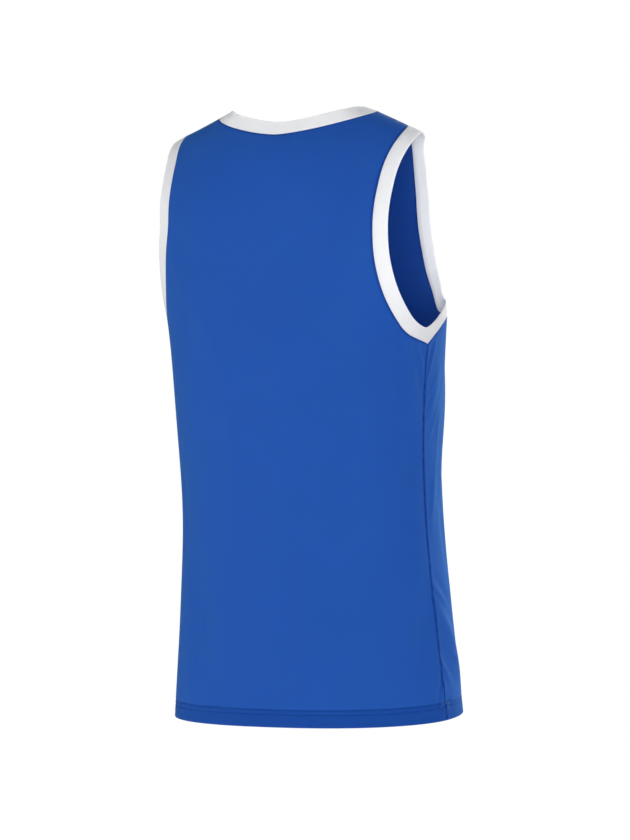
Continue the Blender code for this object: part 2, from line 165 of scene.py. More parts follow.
CREASES = (
    # under the wearer's right arm, fanning out from the armhole's lowest point
    Fold(RIGHT, 1.050, -0.293, 17, 0.090, 0.0026, 0.0018),
    Fold(RIGHT, 1.030, -0.296, 13, 0.080, 0.0030, -0.0014),
    Fold(RIGHT, 1.092, -0.320, 36, 0.110, 0.0032, 0.0018),
    Fold(RIGHT, 1.115, -0.312, 34, 0.100, 0.0042, -0.0014),
    Fold(RIGHT, 1.120, -0.362, 30, 0.100, 0.0034, 0.0015),
    Fold(RIGHT, 1.150, -0.384, 14, 0.100, 0.0060, 0.0016),
    Fold(RIGHT, 1.034, -0.345, 24, 0.080, 0.0040, -0.0008),
    Fold(RIGHT, 1.090, -0.450, 16, 0.140, 0.0065, 0.0014),
    Fold(RIGHT, 1.045, -0.470, 12, 0.140, 0.0060, -0.0008),
    Fold(RIGHT, 0.955, -0.284, -30, 0.060, 0.0022, -0.0014),
    Fold(RIGHT, 0.940, -0.292, -26, 0.075, 0.0028, 0.0008),
    Fold(RIGHT, 0.915, -0.305, -26, 0.110, 0.0065, -0.0014),
    # down the wearer's right side
    Fold(RIGHT, 1.072, -0.585, -51, 0.070, 0.0030, 0.0018),
    Fold(RIGHT, 1.096, -0.574, -48, 0.080, 0.0046, -0.0014),
    Fold(RIGHT, 1.130, -0.660, -52, 0.060, 0.0036, 0.0015),
    Fold(RIGHT, 1.045, -0.680, -32, 0.060, 0.0036, 0.0016),
    Fold(RIGHT, 1.080, -0.672, -40, 0.080, 0.0055, -0.0012),
    Fold(RIGHT, 1.120, -0.625, -40, 0.120, 0.0085, 0.0014),
    Fold(RIGHT, 0.975, -0.706, 36, 0.052, 0.0026, 0.0019),
    Fold(RIGHT, 0.958, -0.700, 30, 0.070, 0.0050, -0.0014),
    Fold(RIGHT, 0.930, -0.640, 6, 0.200, 0.0120, -0.0012),
    Fold(RIGHT, 1.022, -0.7135, 84, 0.024, 0.0020, -0.0020),
    Fold(RIGHT, 1.045, -0.7185, 76, 0.020, 0.0020, -0.0016),
    Fold(RIGHT, 1.035, -0.7160, 80, 0.026, 0.0018, 0.0010),
    Fold(RIGHT, 1.22, -0.500, -8, 0.180, 0.0140, -0.0018),
    # the back
    Fold(RIGHT, 0.12, -0.360, 2, 0.420, 0.0200, 0.0014),
    Fold(RIGHT, 0.42, -0.420, 4, 0.360, 0.0240, -0.0012),
    Fold(RIGHT, 0.30, -0.090, 58, 0.120, 0.0180, 0.0010),
    Fold(LEFT, 0.22, -0.560, -4, 0.260, 0.0180, 0.0012),
    Fold(LEFT, 0.62, -0.440, 8, 0.240, 0.0200, -0.0018),
    Fold(LEFT, 0.44, -0.140, 46, 0.150, 0.0160, -0.0016),
    # under the wearer's left arm and down the left side
    Fold(LEFT, 1.075, -0.322, 28, 0.120, 0.0050, 0.0024),
    Fold(LEFT, 1.13, -0.335, 38, 0.130, 0.0070, -0.0020),
    Fold(LEFT, 0.93, -0.305, -30, 0.090, 0.0050, -0.0024),
    Fold(LEFT, 0.88, -0.330, -20, 0.110, 0.0070, 0.0018),
    Fold(LEFT, 1.06, -0.430, 14, 0.130, 0.0065, 0.0018),
    Fold(LEFT, 1.12, -0.560, -40, 0.140, 0.0090, 0.0024),
    Fold(LEFT, 1.09, -0.640, -30, 0.120, 0.0080, -0.0020),
    Fold(LEFT, 0.94, -0.660, 14, 0.120, 0.0080, 0.0020),
    # the front
    Fold(LEFT, 1.36, -0.420, 14, 0.220, 0.0140, -0.0018),
    Fold(RIGHT, 1.33, -0.440, 16, 0.200, 0.0140, -0.0018),
    Fold(LEFT, 1.84, -0.380, 3, 0.300, 0.0200, 0.0014),
    Fold(RIGHT, 1.80, -0.440, -4, 0.320, 0.0180, 0.0016),
    Fold(RIGHT, 1.50, -0.540, -10, 0.240, 0.0160, 0.0018),
    Fold(LEFT, 1.52, -0.640, 12, 0.180, 0.0160, -0.0018),
    Fold(RIGHT, 1.93, -0.640, 2, 0.160, 0.0160, -0.0014),
    Fold(LEFT, 1.62, -0.190, 30, 0.120, 0.0120, 0.0014),
    Fold(RIGHT, 1.60, -0.180, 34, 0.120, 0.0120, 0.0014),
)

# ---------------------------------------------------------------- edges and sewing
EDGE_ROLL = 0.0013      # how far in from a seam a panel's edge is rounded off
EDGE_STEPS = 6          # faces round such an edge
EASE_IN = 0.008         # how far in from a seam the cloth gives way to that rounding
CORNER_LIMIT = 0.7      # keeps the way out at a sharp corner from growing too long
SEAM_GAP = -0.0002      # between the rounded edges of two pieces, which press into each other
ALLOWANCE = 0.0065      # width of the cloth turned in at a seam, pressed towards the front
ALLOWANCE_LIFT = 0.0004     # how far it lifts the cloth that lies over it
ALLOWANCE_EDGE = 0.002  # the width over which that lift ends
STITCH_ROWS = (0.0158, 0.0215)  # of the hem, above the bottom edge
STITCH = 0.0030         # length of one stitch
STITCH_DIP = 0.0005     # how deep a row pulls the cloth in
STITCH_PULL = 0.0010    # and how wide
STITCH_STEPS = 6        # points along one stitch
THREAD = 0.00016        # radius of the sewing thread
THREAD_SIDES = 6
THREAD_RISE = 2.6       # how far a stitch's middle lies above its ends, in radii of the thread
THREAD_SUNK = 1.4       # how far those ends lie below the cloth's surface
HEM_STEP = 0.0016       # height over which the turned-up edge's thickness ends
SEAM_SHADE = 0.0015     # how far from a seam the painted shade of its groove reaches
DOUBLED_PAINTED_SHADE = 0.48     # how much of that painted shade doubled cloth has, as less light comes through it
ROW_PAINTED_SHADE = 1.00         # and how much a row of stitches, where it pulls the cloth in
ROW_SHADE = 0.0009      # how far from a row of stitches its painted shade reaches

# The sewing puckers the cloth in uneven waves along a seam. A wave has its length, its share of the height
# and where it starts. A pucker's size is that height, and past its reach from the seam it has mostly gone.
Wave = namedtuple("Wave", "length share shift")
WAVES = (Wave(0.0130, 0.45, 0.0), Wave(0.0187, 0.35, 1.7), Wave(0.0310, 0.20, 4.1))
Pucker = namedtuple("Pucker", "size reach")
SIDE_PUCKER = Pucker(0.00035, 0.006)
HEM_PUCKER = Pucker(0.00025, 0.008)
BAND_PUCKER = 0.0002    # at a band's free edge
SEAM_START = 0.03       # height below the armpit over which a side seam's sewing starts to show

BAND_TURN = 0.024       # the stretch of seam over which a band turns a corner
BAND_PLUMP = 0.15       # how much thicker a band is in its middle

# ---------------------------------------------------------------- how finely it is drawn
TABLE_STEPS = 96        # steps in which a quarter of a ring is measured
LINE_STEPS = 600        # in which a seam line is measured
REACH = 0.15            # how far round, in turns, the cloth's normal is averaged
STEP = 0.002            # and how far up and down
NECK_STEPS = {BACK: 44, FRONT: 60}          # along half the neck seam of a panel
SHOULDER_STEPS = 17
ARMHOLE_STEPS = 110     # from the side seam to the shoulder
UNDERARM_STEPS = {BACK: 22, FRONT: 33}      # of those, the ones that lie above the body's rows
STRAP_STEPS = {BACK: 0, FRONT: 22}          # and those beside a strap, which the neck reaches down past
BODY_ROWS = 144         # from the turned-up edge to the underarm
HEM_ROWS = 29           # in the turned-up edge and just above it
HEM_TOP = 1.15          # where they end, as a share of the turned-up edge
SIDE_BIAS = 0.35        # how much closer the columns stand at the side seam than at the centre line
SAME_POINT = 7          # decimals of a metre to which two grids' points have to agree to be one
ROUND_STEPS = 4         # faces round the quarter of a band's edge
SEWN_STEPS = 3          # across a band, from its edge to its stitches
PLAIN_STEPS = 8         # and from there to where it is folded


def hermite(knots, values, wanted):
    """A cubic through the rows of values, with each row's mean slope."""
    knots, values = np.asarray(knots, float), np.asarray(values, float)
    slopes = np.gradient(values, knots, axis=0)
    i = np.clip(np.searchsorted(knots, wanted) - 1, 0, len(knots) - 2)
    span = knots[i + 1] - knots[i]
    u = np.clip((wanted - knots[i]) / span, 0.0, 1.0)
    if values.ndim > 1:
        span, u = span[..., None], u[..., None]
    return (
        values[i] * (1 + 2 * u) * (1 - u) ** 2
        + values[i + 1] * u * u * (3 - 2 * u)
        + span * slopes[i] * u * (1 - u) ** 2
        - span * slopes[i + 1] * u * u * (1 - u)
    )


def ring_value(name, height):
    """A column of TORSO at any height."""
    rows = TORSO[::-1]
    return hermite([row.height for row in rows], [getattr(row, name) for row in rows], height)


def on_torso(turn, height):
    """A point of the torso's left half. turn is 0 at the centre back, 1 at the seam, 2 at the centre front.
    Past either centre line it goes on to the right half."""
    out = np.sin(turn * math.pi / 2)
    behind = turn < 1
    depth = np.where(behind, ring_value("back", height), -ring_value("front", height))
    bulge = np.clip(1 - np.abs(out) ** ring_value("flat", height), 0, 1) ** ring_value("fold", height)
    y = depth * bulge
    z = height - ring_value("lean", height) * y
    return np.stack([ring_value("half_width", height) * out, ring_value("centre", height) + y, z], axis=-1)


def unit(vectors):
    return vectors / np.linalg.norm(vectors, axis=-1, keepdims=True)


def lengths_along(points):
    """How far along a line each of its points lies."""
    return np.concatenate([[0], np.cumsum(np.linalg.norm(np.diff(points, axis=0), axis=1))])


def faded(distance, reach):
    """1 at no distance, and next to nothing past the reach."""
    return np.exp(-((distance / reach) ** 2))


def normal_on(turn, height):
    """The cloth's outward direction. At a seam both panels share it, so their edges stay parallel."""
    around = on_torso(turn + REACH, height) - on_torso(turn - REACH, height)
    upward = on_torso(turn, height + STEP) - on_torso(turn, height - STEP)
    return unit(np.cross(upward, around))


def quarter_lengths(height, facing):
    """How much cloth lies between the centre line and each of TABLE_STEPS turns, at each height."""
    turns = np.linspace(0, 1, TABLE_STEPS + 1)
    shown = turns if facing == BACK else 2 - turns
    points = on_torso(shown[None, :], height[:, None])
    steps = np.linalg.norm(np.diff(points, axis=1), axis=2)
    return turns, np.concatenate([np.zeros((len(height), 1)), np.cumsum(steps, axis=1)], axis=1)


def half_round(height, facing):
    """How much cloth lies between the centre line and the seam, at each height."""
    return quarter_lengths(np.atleast_1d(height), facing)[1][:, -1]


def wrapped(flat, facing):
    """The turn at which each point of a flat pattern, (from_centre, height), comes to lie."""
    turns, lengths = quarter_lengths(flat[:, 1], facing)
    turn = np.array([np.interp(abs(s), row, turns) for s, row in zip(flat[:, 0], lengths)])
    return turn if facing == BACK else 2 - turn


def evenly(line, facing, count):
    """The same line of the flat pattern as count points, evenly spaced once it lies on the torso."""
    along = lengths_along(on_torso(wrapped(line, facing), line[:, 1]))
    wanted = np.linspace(0, along[-1], count)
    return np.stack([np.interp(wanted, along, line[:, k]) for k in (0, 1)], axis=-1)


def armhole_line(facing, count):
    """The armhole's seam on the flat pattern, from the side seam up to the shoulder."""
    bottom = (half_round(ARMPIT, facing)[0], ARMPIT)
    top = (half_round(STRAP_END, facing)[0], STRAP_END)
    cuts = [(cut.from_centre, cut.height) for cut in reversed(ARMHOLE[facing])]
    corners = np.array([bottom, *cuts, top])
    spacing = np.sqrt(np.linalg.norm(np.diff(corners, axis=0), axis=1))
    knots = np.concatenate([[0], np.cumsum(spacing)])
    return evenly(hermite(knots, corners, np.linspace(0, knots[-1], LINE_STEPS)), facing, count)


def neck_line(facing, count):
    """The neck's seam on the flat pattern, from the centre line to the shoulder."""
    neck = NECK[facing]
    share = np.sin(np.linspace(0, math.pi / 2, LINE_STEPS))
    rise = 1 - (1 - share**neck.bottom) ** neck.corner
    heights = neck.height + (NECK_POINT - neck.height) * rise
    return evenly(np.stack([half_round(NECK_POINT, facing)[0] * share, heights], axis=-1), facing, count)


def shoulder_line(facing, count):
    """The shoulder seam on the flat pattern, from the neck out to the strap's end."""
    heights = np.linspace(NECK_POINT, STRAP_END, count)
    return np.stack([half_round(heights, facing), heights], axis=-1)


# ---------------------------------------------------------------- how the cloth lies
def folded(folds, side, turn, height):
    """How far the folds lift the cloth off the torso."""
    around = side * turn * QUARTER
    lift = np.zeros(np.shape(around))
    for fold in folds:
        past = (around - fold.side * fold.turn * QUARTER + 2 * QUARTER) % (4 * QUARTER) - 2 * QUARTER
        above = height - fold.height
        angle = math.radians(fold.side * fold.slant)
        along = above * math.cos(angle) + past * math.sin(angle)
        across = past * math.cos(angle) - above * math.sin(angle)
        swell = np.clip(1 - (2 * along / fold.length) ** 2, 0, 1) ** 2
        lift += fold.depth * swell * faded(across, fold.width)
    return lift


def ripple(distance, phase):
    """An uneven wave along a seam, between -1 and 1."""
    turns = 2 * math.pi * distance
    return sum(wave.share * np.sin(turns / wave.length + wave.shift + phase) for wave in WAVES)


def sewn(side, height, facing, to_seam):
    """How far the side seams' sewing and the hem's lift the cloth, or pull it in."""
    below = np.clip((ARMPIT - height) / SEAM_START, 0, 1)
    wave = SIDE_PUCKER.size * ripple(height, 2.0 * side + facing)
    lift = wave * np.exp(-to_seam / SIDE_PUCKER.reach) * below
    if facing == FRONT:
        edge = np.clip((ALLOWANCE - to_seam) / ALLOWANCE_EDGE, 0, 1)
        lift += ALLOWANCE_LIFT * edge * edge * (3 - 2 * edge) * below
    above = height - HEM
    for row in STITCH_ROWS:
        lift -= STITCH_DIP * faded(above - row, STITCH_PULL)
    middle = sum(STITCH_ROWS) / len(STITCH_ROWS)
    wave = HEM_PUCKER.size * ripple(to_seam, facing + side)
    return lift + wave * faded(above - middle, HEM_PUCKER.reach)


def laid(flat, facing):
    """Where the points of a flat pattern come to lie, and which way is out there."""
    side = np.where(flat[:, 0] < 0, RIGHT, LEFT)
    mirror = np.stack([side, np.ones_like(side), np.ones_like(side)], axis=-1)
    turn, height = wrapped(flat, facing), flat[:, 1]
    outward = normal_on(turn, height) * mirror
    to_seam = np.maximum(half_round(height, facing) - np.abs(flat[:, 0]), 0)
    lift = folded(LARGE_FOLDS + CREASES, side, turn, height) + sewn(side, height, facing, to_seam)
    return on_torso(turn, height) * mirror + outward * lift[:, None], outward


def patch(bottom, top, left, right):
    """A grid of points that fills four edges, row by row from the bottom."""
    u = np.linspace(0, 1, len(bottom))[None, :, None]
    v = np.linspace(0, 1, len(left))[:, None, None]
    ruled = (1 - v) * bottom + v * top + (1 - u) * left[:, None] + u * right[:, None]
    low_corners = (1 - u) * bottom[0] + u * bottom[-1]
    high_corners = (1 - u) * top[0] + u * top[-1]
    return ruled - (1 - v) * low_corners - v * high_corners


def body_rows(underarm, facing):
    """The rows of half a panel below the underarm line: level at the hem, then bending to that line."""
    reach = half_round(underarm[:, 1], facing)
    spread_above = underarm[:, 0] / reach
    even = np.linspace(0, 1, len(underarm))
    spread_below = even + SIDE_BIAS * even * (1 - even)
    hem_top = HEM + HEM_DEPTH * HEM_TOP
    rows = [(0.0, np.full(len(underarm), height)) for height in np.linspace(HEM, hem_top, HEM_ROWS + 1)]
    for v in np.linspace(0, 1, BODY_ROWS + 1)[1:]:
        rows.append((v, hem_top + v * (underarm[:, 1] - hem_top)))
    points = []
    for v, heights in rows:
        spread = (1 - v) * spread_below + v * spread_above
        points.append(np.stack([spread * half_round(heights, facing), heights], axis=-1))
    return np.array(points)


def half_pattern(facing):
    """Half a panel's flat pattern as grids: the body, the chest and, where the neck is deep, the strap."""
    armhole = armhole_line(facing, ARMHOLE_STEPS + 1)
    neck = neck_line(facing, NECK_STEPS[facing] + 1)
    shoulder = shoulder_line(facing, SHOULDER_STEPS + 1)
    low, high = UNDERARM_STEPS[facing], ARMHOLE_STEPS - STRAP_STEPS[facing]
    neck_turn = NECK_STEPS[facing] - STRAP_STEPS[facing]
    across = shoulder
    if STRAP_STEPS[facing]:
        across = np.linspace(neck[neck_turn], armhole[high], SHOULDER_STEPS + 1)
    top = np.concatenate([neck[: neck_turn + 1], across[1:]])
    level = np.linspace((0, armhole[low, 1]), armhole[low], len(top))
    middle = np.linspace(level[0], top[0], high - low + 1)
    underarm = np.concatenate([level, armhole[:low][::-1]])
    grids = [body_rows(underarm, facing), patch(level, top, middle, armhole[low : high + 1])]
    if STRAP_STEPS[facing]:
        grids.append(patch(across, shoulder, neck[neck_turn:], armhole[high:]))
    return grids


def joined(grids):
    """Each point of the grids once, and for each grid the numbers of its points."""
    every_point = np.round(np.concatenate([grid.reshape(-1, 2) for grid in grids]), SAME_POINT)
    every_point += 0.0  # makes each -0.0 a 0.0
    flat, shared = np.unique(every_point, axis=0, return_inverse=True)
    sizes = [grid.shape[0] * grid.shape[1] for grid in grids]
    parts = np.split(shared.ravel(), np.cumsum(sizes)[:-1])
    return flat, [part.reshape(grid.shape[:2]) for part, grid in zip(parts, grids)]


# ---------------------------------------------------------------- meshes
def squares(numbers, closed=False):
    """The four-sided faces of a grid of point numbers. A closed one runs round to its first column."""
    if closed:
        numbers = np.concatenate([numbers, numbers[:, :1]], axis=1)
    corners = numbers[:-1, :-1], numbers[:-1, 1:], numbers[1:, 1:], numbers[1:, :-1]
    return np.stack(corners, axis=-1).reshape(-1, 4)


def shell(name, points, faces, cloth_places, painted_shade, material):
    """A mesh piece that rides on the jersey. cloth_places are its points' places on the cloth, in metres.
    Its painted shade, from 0 to 1, is how far each point's colour is darkened to stand in for shade: where
    more cloth behind it lets less light through, and in the depth of a seam."""
    mesh = bpy.data.meshes.new(name)
    mesh.from_pydata(points.tolist(), [], faces.tolist())
    corners = np.zeros(len(mesh.loops), np.int32)
    mesh.loops.foreach_get("vertex_index", corners)
    places = mesh.uv_layers.new(name="cloth")
    places.data.foreach_set("uv", cloth_places[corners].astype(np.float32).ravel())
    mesh.attributes.new("painted_shade", "FLOAT", "POINT").data.foreach_set("value", painted_shade.astype(np.float32))
    mesh.materials.append(material)
    mesh.shade_smooth()
    piece = bpy.data.objects.new(name, mesh)
    bpy.context.scene.collection.objects.link(piece)
    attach(piece, "root")
    return piece


def border_of(faces):
    """The points round a sheet's edge, in order."""
    starts = faces.ravel()
    ends = np.roll(faces, -1, axis=1).ravel()
    count = faces.max() + 1
    forward, backward = starts * count + ends, ends * count + starts
    rim = ~np.isin(forward, backward)
    following = dict(zip(starts[rim].tolist(), ends[rim].tolist()))
    order = [next(iter(following))]
    while following[order[-1]] != order[0]:
        order.append(following[order[-1]])
    return np.array(order)


def way_out(points, outward):
    """For each point round a sheet's edge, the way out of the sheet in its own surface. It is longer at a
    corner, so that both edges there are moved by one measure."""
    step = unit(np.roll(points, -1, axis=0) - points)
    leaving = unit(np.cross(step, outward))
    arriving = np.roll(leaving, 1, axis=0)
    turned = np.sum(leaving * arriving, axis=1, keepdims=True)
    return (leaving + arriving) / np.maximum(1 + turned, CORNER_LIMIT)


def drawn_in(points, border, moves):
    """Moves a sheet's edge, and the cloth within EASE_IN of it less and less."""
    moved = points.copy()
    for number, (i, distance) in enumerate(nearest(points, points[border])):
        if distance < EASE_IN:
            moved[number] += moves[i] * (1 - distance / EASE_IN)
    return moved


def nearest(points, others):
    """For each point, the number of the nearest other one, and how far it is."""
    tree = KDTree(len(others))
    for i, other in enumerate(others):
        tree.insert(other, i)
    tree.balance()
    return [tree.find(point)[1:] for point in points]


def cloth_lengths(points, numbers, half):
    """How far up the cloth each point lies, measured along the grids' columns from the hem."""
    up = np.zeros(len(points))
    for body, *above in (numbers[:half], numbers[half:]):
        for grid in (body, *above):
            steps = np.linalg.norm(np.diff(points[grid], axis=0), axis=2)
            up[grid[1:]] = up[grid[0]] + np.cumsum(steps, axis=0)
    return up


def panel(name, facing, material):
    """The back or the front: an outer and an inner sheet, with a rounded edge between them all round."""
    grids = [grid * [side, 1] for side in (LEFT, RIGHT) for grid in half_pattern(facing)]
    flat, numbers = joined(grids)
    points, outward = laid(flat, facing)
    half = len(grids) // 2
    places = np.stack([flat[:, 0], cloth_lengths(points, numbers, half)], axis=-1)
    # A half whose columns run the other way round as seen from outside has them reversed.
    faces = [squares(grid[:, ::-facing]) for grid in numbers[:half]]
    faces += [squares(grid[:, ::facing]) for grid in numbers[half:]]
    faces = np.concatenate(faces)

    border = border_of(faces)
    out = way_out(points[border], outward[border])
    hem = np.isclose(flat[border, 1], HEM)
    thickness = CLOTH + (HEM_CLOTH - CLOTH) * turned_up(flat)
    roll = np.where(hem, HEM_CLOTH / 2, EDGE_ROLL)[:, None]
    room = np.where(hem, 0, SEAM_GAP / 2)[:, None]
    points = drawn_in(points, border, -out * (roll + room))
    inside = points - outward * thickness[:, None]

    rim = points[border]
    middle = rim - outward[border] * thickness[border, None] / 2
    rings = []
    for angle in np.linspace(0, math.pi, EDGE_STEPS + 1)[1:-1]:
        depth = outward[border] * thickness[border, None] / 2 * math.cos(angle)
        rings.append(middle + depth + out * roll * math.sin(angle))
    to_seam = np.array([distance for _, distance in nearest(points, points[border[~hem]])])
    # Painted shade: the colour is darkened in the grooves at the seams, in the turned-up edge and along the
    # rows of stitches.
    painted_shade = painted_shading(flat, to_seam)
    count = len(flat)
    around = len(border)
    numbers_of_rings = 2 * count + np.arange(len(rings) * around).reshape(len(rings), around)
    edge = np.concatenate([border[None], numbers_of_rings, border[None] + count])
    every_face = np.concatenate([faces, faces[:, ::-1] + count, squares(edge, closed=True)[:, ::-1]])
    every_point = np.concatenate([points, inside, *rings])
    every_place = np.concatenate([places, places, *[places[border]] * len(rings)])
    every_painted_shade = np.concatenate([painted_shade, painted_shade, *[painted_shade[border]] * len(rings)])
    piece = shell(name, every_point, every_face, every_place, every_painted_shade, material)
    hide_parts("back" if facing == BACK else "front")
    return piece


def turned_up(flat):
    """1 in the turned-up bottom edge, 0 above it."""
    return np.clip(0.5 + (HEM + HEM_DEPTH - flat[:, 1]) / HEM_STEP, 0, 1)


def painted_shading(flat, to_seam):
    """How far each point of a panel's colour is darkened by painted shade: in the groove at its seams, in
    its turned-up edge, where the doubled cloth lets less light through, and along its rows of stitches.
    """
    painted_shade = np.maximum(DOUBLED_PAINTED_SHADE * turned_up(flat), np.clip(1 - to_seam / SEAM_SHADE, 0, 1))
    for row in STITCH_ROWS:
        painted_shade = np.maximum(painted_shade, ROW_PAINTED_SHADE * faded(flat[:, 1] - HEM - row, ROW_SHADE))
    return painted_shade


def round_seam(stretches):
    """The closed seam made of stretches, each (line, facing, side), and which way is out along it."""
    ends = [laid(line * [side, 1], facing) for line, facing, side in stretches]
    return [np.concatenate([end[k][:-1] for end in ends]) for k in (0, 1)]


def smoothed(values, reach):
    """A closed row of values, each averaged with its neighbours."""
    return sum(np.roll(values, k, axis=0) for k in range(-reach, reach + 1)) / (2 * reach + 1)


def closeness(seam, place, reach):
    """How close each point of a band's seam is to a place, (depth, height), from 0 to 1."""
    away = (seam[:, 1:] - place) / reach
    return np.exp(-np.sum(away * away, axis=1))[:, None]


def risen(into, outward, seam):
    """The way across the neck band, which rises a little off the shoulders."""
    place, reach = NECK_CORNER
    return into + outward * NECK_RISE * closeness(seam, place, RISE_REACH * reach)


def eased(into, outward, seam):
    """The way across an armhole's band, leaning outwards, drawn in and gathered."""
    chest, underarm = closeness(seam, CHEST, CHEST_REACH), closeness(seam, UNDERARM, UNDERARM_REACH)
    return into * (1 - GATHERED * underarm) + outward * (LEANING_OUT * chest - DRAWN_IN * underarm)


def way_across(seam, outward, easing, corner):
    """The way from each point of a seam across its band, 1 long where the band has its full width. The free
    edge is rounder near a corner, (place, reach)."""
    spacing = np.linalg.norm(np.diff(seam, axis=0), axis=1).mean()
    reach = round(BAND_TURN / spacing)
    along = np.roll(seam, -reach, axis=0) - np.roll(seam, reach, axis=0)
    into = unit(np.cross(outward, along))
    into *= np.sign(np.sum(into * (seam.mean(axis=0) - seam)))
    into = easing(unit(smoothed(smoothed(into, reach), reach)), outward, seam)
    free = seam + into * BAND_WIDTH
    rounder = smoothed(smoothed(free, reach), reach) - free
    return into + rounder / BAND_WIDTH * closeness(seam, *corner)


def band(node, stretches, material, easing, corner):
    """A folded strip sewn on all round an opening: from its seam it reaches on into the opening."""
    seam, outward = round_seam(stretches)
    into = way_across(seam, outward, easing, corner)
    lengths = lengths_along(seam)
    wave = BAND_PUCKER * ripple(lengths, 0.0)[:, None]
    fold = BAND_CLOTH / 2
    ends = np.linspace(0, math.pi / 2, ROUND_STEPS + 1)
    distances = np.concatenate([
        SEAM_GAP / 2 + EDGE_ROLL * (1 - np.cos(ends)),
        np.linspace(EDGE_ROLL, ALLOWANCE - STITCH_PULL / 2, SEWN_STEPS + 1)[1:],
        np.linspace(ALLOWANCE + STITCH_PULL / 2, BAND_WIDTH - fold, PLAIN_STEPS + 1)[:-1],
        BAND_WIDTH - fold * (1 - np.sin(ends)),
    ])
    rows, places, painted_shades = [], [], []
    for layer, order in ((1, distances), (-1, distances[-2:0:-1])):
        for distance in order:
            edge = min(1.0, distance / EDGE_ROLL)
            turn = max(0.0, (distance - BAND_WIDTH + fold) / fold)
            plump = BAND_PLUMP * math.sin(math.pi * distance / BAND_WIDTH)
            thickness = BAND_CLOTH * math.sqrt(max(0, 1 - (1 - edge) ** 2)) * math.sqrt(max(0, 1 - turn**2))
            height = layer * thickness / 2 * (1 + plump) - CLOTH / 2
            doubled = layer < 0 and distance < ALLOWANCE
            if doubled:
                height -= ALLOWANCE_LIFT
            rows.append(seam + into * distance + outward * (height + wave * distance / BAND_WIDTH))
            places.append(np.stack([lengths, np.full(len(seam), layer * distance)], axis=-1))
            # Painted shade: the inner layer's colour is darkened where the turned-in allowance lies behind
            # it.
            painted_shades.append(np.full(len(seam), float(doubled)))
    grid = np.arange(len(rows) * len(seam)).reshape(len(rows), len(seam))
    faces = squares(np.concatenate([grid, grid[:1]]), closed=True)
    points, places, painted_shades = (np.concatenate(each) for each in (rows, places, painted_shades))
    piece = shell(f"{node}_cloth", points, faces, places, painted_shades, material)
    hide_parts(node)
    return piece


def neck_stretches():
    back, front = (neck_line(facing, NECK_STEPS[facing] + 1) for facing in (BACK, FRONT))
    return (back, BACK, LEFT), (front[::-1], FRONT, LEFT), (front, FRONT, RIGHT), (back[::-1], BACK, RIGHT)


def armhole_stretches(side):
    back, front = armhole_line(BACK, ARMHOLE_STEPS + 1), armhole_line(FRONT, ARMHOLE_STEPS + 1)
    return (back, BACK, side), (front[::-1], FRONT, side)


# ---------------------------------------------------------------- sewing thread
def thread(name, path, outward, material):
    """A tube of sewing thread along path."""
    along = unit(np.gradient(path, axis=0))
    across = unit(np.cross(along, outward))
    angles = np.linspace(0, 2 * math.pi, THREAD_SIDES, endpoint=False)
    rings = [path + THREAD * (math.cos(a) * across + math.sin(a) * outward) for a in angles]
    points = np.stack(rings, axis=1).reshape(-1, 3)
    numbers = np.arange(len(points)).reshape(len(path), THREAD_SIDES)
    lengths = np.repeat(lengths_along(path), THREAD_SIDES)
    places = np.stack([lengths, np.tile(angles * THREAD, len(path))], axis=-1)
    # The thread's colour carries the full painted shade, as the middle of its row of stitches does.
    return shell(name, points, squares(numbers, closed=True), places, np.ones(len(points)), material)


def hem_row(name, facing, row, material):
    """A row of stitches round half the hem: each stitch lies on the cloth and dips in at both ends."""
    height = HEM + row
    reach = half_round(height, facing)[0] - 2 * EDGE_ROLL
    stitches = round(2 * reach / STITCH)
    across = np.linspace(-reach, reach, stitches * STITCH_STEPS + 1)
    flat = np.stack([across, np.full(len(across), height)], axis=-1)
    points, outward = laid(flat, facing)
    phase = np.arange(len(across)) / STITCH_STEPS
    over = np.abs(np.sin(math.pi * phase)) ** 0.5
    lift = THREAD * (THREAD_RISE * over - THREAD_SUNK)
    return thread(name, points + outward * lift[:, None], outward, material)


# ---------------------------------------------------------------- materials
LOOP_HEIGHT = 0.25      # of plain knitting's loops, as a share of the relief
RIB_LOOP_HEIGHT = 0.12  # of a rib's loops
CONTRAST = 0.6          # how much the relief, as painted shade between the stitches, and the patches go from the low to the high colour
PATCH_SIZE = 0.09       # of the cloth's faint lighter and darker patches
PATCH_DETAIL = 2.0
BUMP_STRENGTH = 0.6
# A mix of colours has its two colours at these inputs, and gives its result at this output.
MIX_FIRST, MIX_SECOND, MIXED = 6, 7, 2


def plugged(tree, kind, inputs, output=0, **settings):
    """A new node with its inputs set, or joined to another node's output."""
    node = tree.nodes.new(kind)
    for key, value in settings.items():
        setattr(node, key, value)
    for key, value in inputs.items():
        if isinstance(value, bpy.types.NodeSocket):
            tree.links.new(value, node.inputs[key])
        else:
            node.inputs[key].default_value = value
    return node.outputs[output]


def maths(tree, operation, first, second=0.0, third=0.0):
    """One sum. MULTIPLY_ADD is first times second, plus third."""
    return plugged(tree, "ShaderNodeMath", {0: first, 1: second, 2: third}, operation=operation)


def mixed(tree, factor, first, second, blend_type="MIX"):
    """A mix of two colours, or the first multiplied by the second."""
    inputs = {"Factor": factor, MIX_FIRST: first, MIX_SECOND: second}
    return plugged(tree, "ShaderNodeMix", inputs, output=MIXED, data_type="RGBA", blend_type=blend_type)


def cloth_place(tree):
    """A point's place on the cloth, in metres, whole and as its two parts."""
    place = plugged(tree, "ShaderNodeUVMap", {}, uv_map="cloth")
    parts = tree.nodes.new("ShaderNodeSeparateXYZ")
    tree.links.new(place, parts.inputs[0])
    return place, parts.outputs["X"], parts.outputs["Y"]


